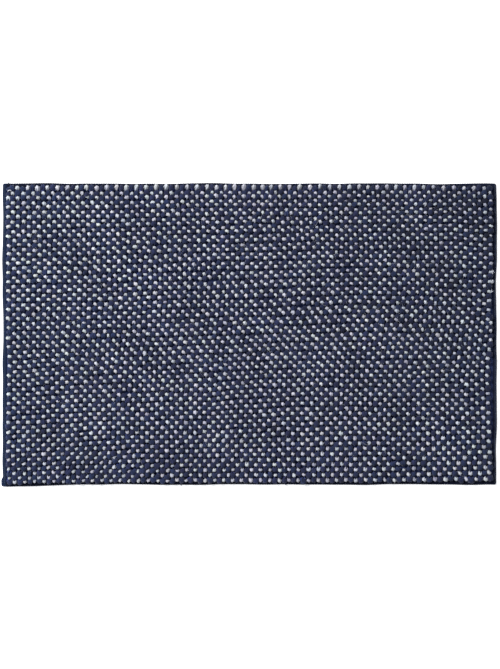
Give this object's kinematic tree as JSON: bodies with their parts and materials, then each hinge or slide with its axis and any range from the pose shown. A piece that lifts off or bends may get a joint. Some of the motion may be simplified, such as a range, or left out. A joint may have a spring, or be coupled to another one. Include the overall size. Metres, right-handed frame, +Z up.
{
  "type": "bath mat",
  "caption": "Rectangular loop-pile bath mat: navy and off-white yarn loops on a hemmed base cloth with an anti-slip backing.",
  "frame": {"origin": "on the floor under the middle of the mat", "axes": "+X along the long side, +Y across the mat towards its back selvedge, +Z up out of the pile"},
  "size_m": [0.8, 0.488, 0.014],
  "materials": {
    "backing": "matte latex coat",
    "base_cloth": "plain-woven cotton",
    "edge_cloth": "plain-woven cotton",
    "stitch_thread": "spun sewing thread",
    "navy_yarn": "thick plied cotton yarn",
    "white_yarn": "thick plied cotton yarn"
  },
  "bodies": {
    "root": {"anti_slip_backing": "backing", "base_cloth": "base_cloth", "hem_left": "edge_cloth", "hem_right": "edge_cloth", "hem_stitching_left": "stitch_thread", "hem_stitching_right": "stitch_thread", "pile_row_01": "navy_yarn", "pile_row_64": "navy_yarn", "pile_rows_02_03": "navy_yarn", "pile_rows_04_05": "navy_yarn", "pile_rows_06_07": "navy_yarn", "pile_rows_08_09": "navy_yarn", "pile_rows_10_11": "navy_yarn", "pile_rows_12_13": "navy_yarn", "pile_rows_14_15": "navy_yarn", "pile_rows_16_17": "navy_yarn", "pile_rows_18_19": "navy_yarn", "pile_rows_20_21": "navy_yarn", "pile_rows_22_23": "navy_yarn", "pile_rows_24_25": "navy_yarn", "pile_rows_26_27": "navy_yarn", "pile_rows_28_29": "navy_yarn", "pile_rows_30_31": "navy_yarn", "pile_rows_32_33": "navy_yarn", "pile_rows_34_35": "navy_yarn", "pile_rows_36_37": "navy_yarn", "pile_rows_38_39": "navy_yarn", "pile_rows_40_41": "navy_yarn", "pile_rows_42_43": "navy_yarn", "pile_rows_44_45": "navy_yarn", "pile_rows_46_47": "navy_yarn", "pile_rows_48_49": "navy_yarn", "pile_rows_50_51": "navy_yarn", "pile_rows_52_53": "navy_yarn", "pile_rows_54_55": "navy_yarn", "pile_rows_56_57": "navy_yarn", "pile_rows_58_59": "navy_yarn", "pile_rows_60_61": "navy_yarn", "pile_rows_62_63": "navy_yarn", "selvedge_back": "edge_cloth", "selvedge_front": "edge_cloth"}
  },
  "joints": []
}
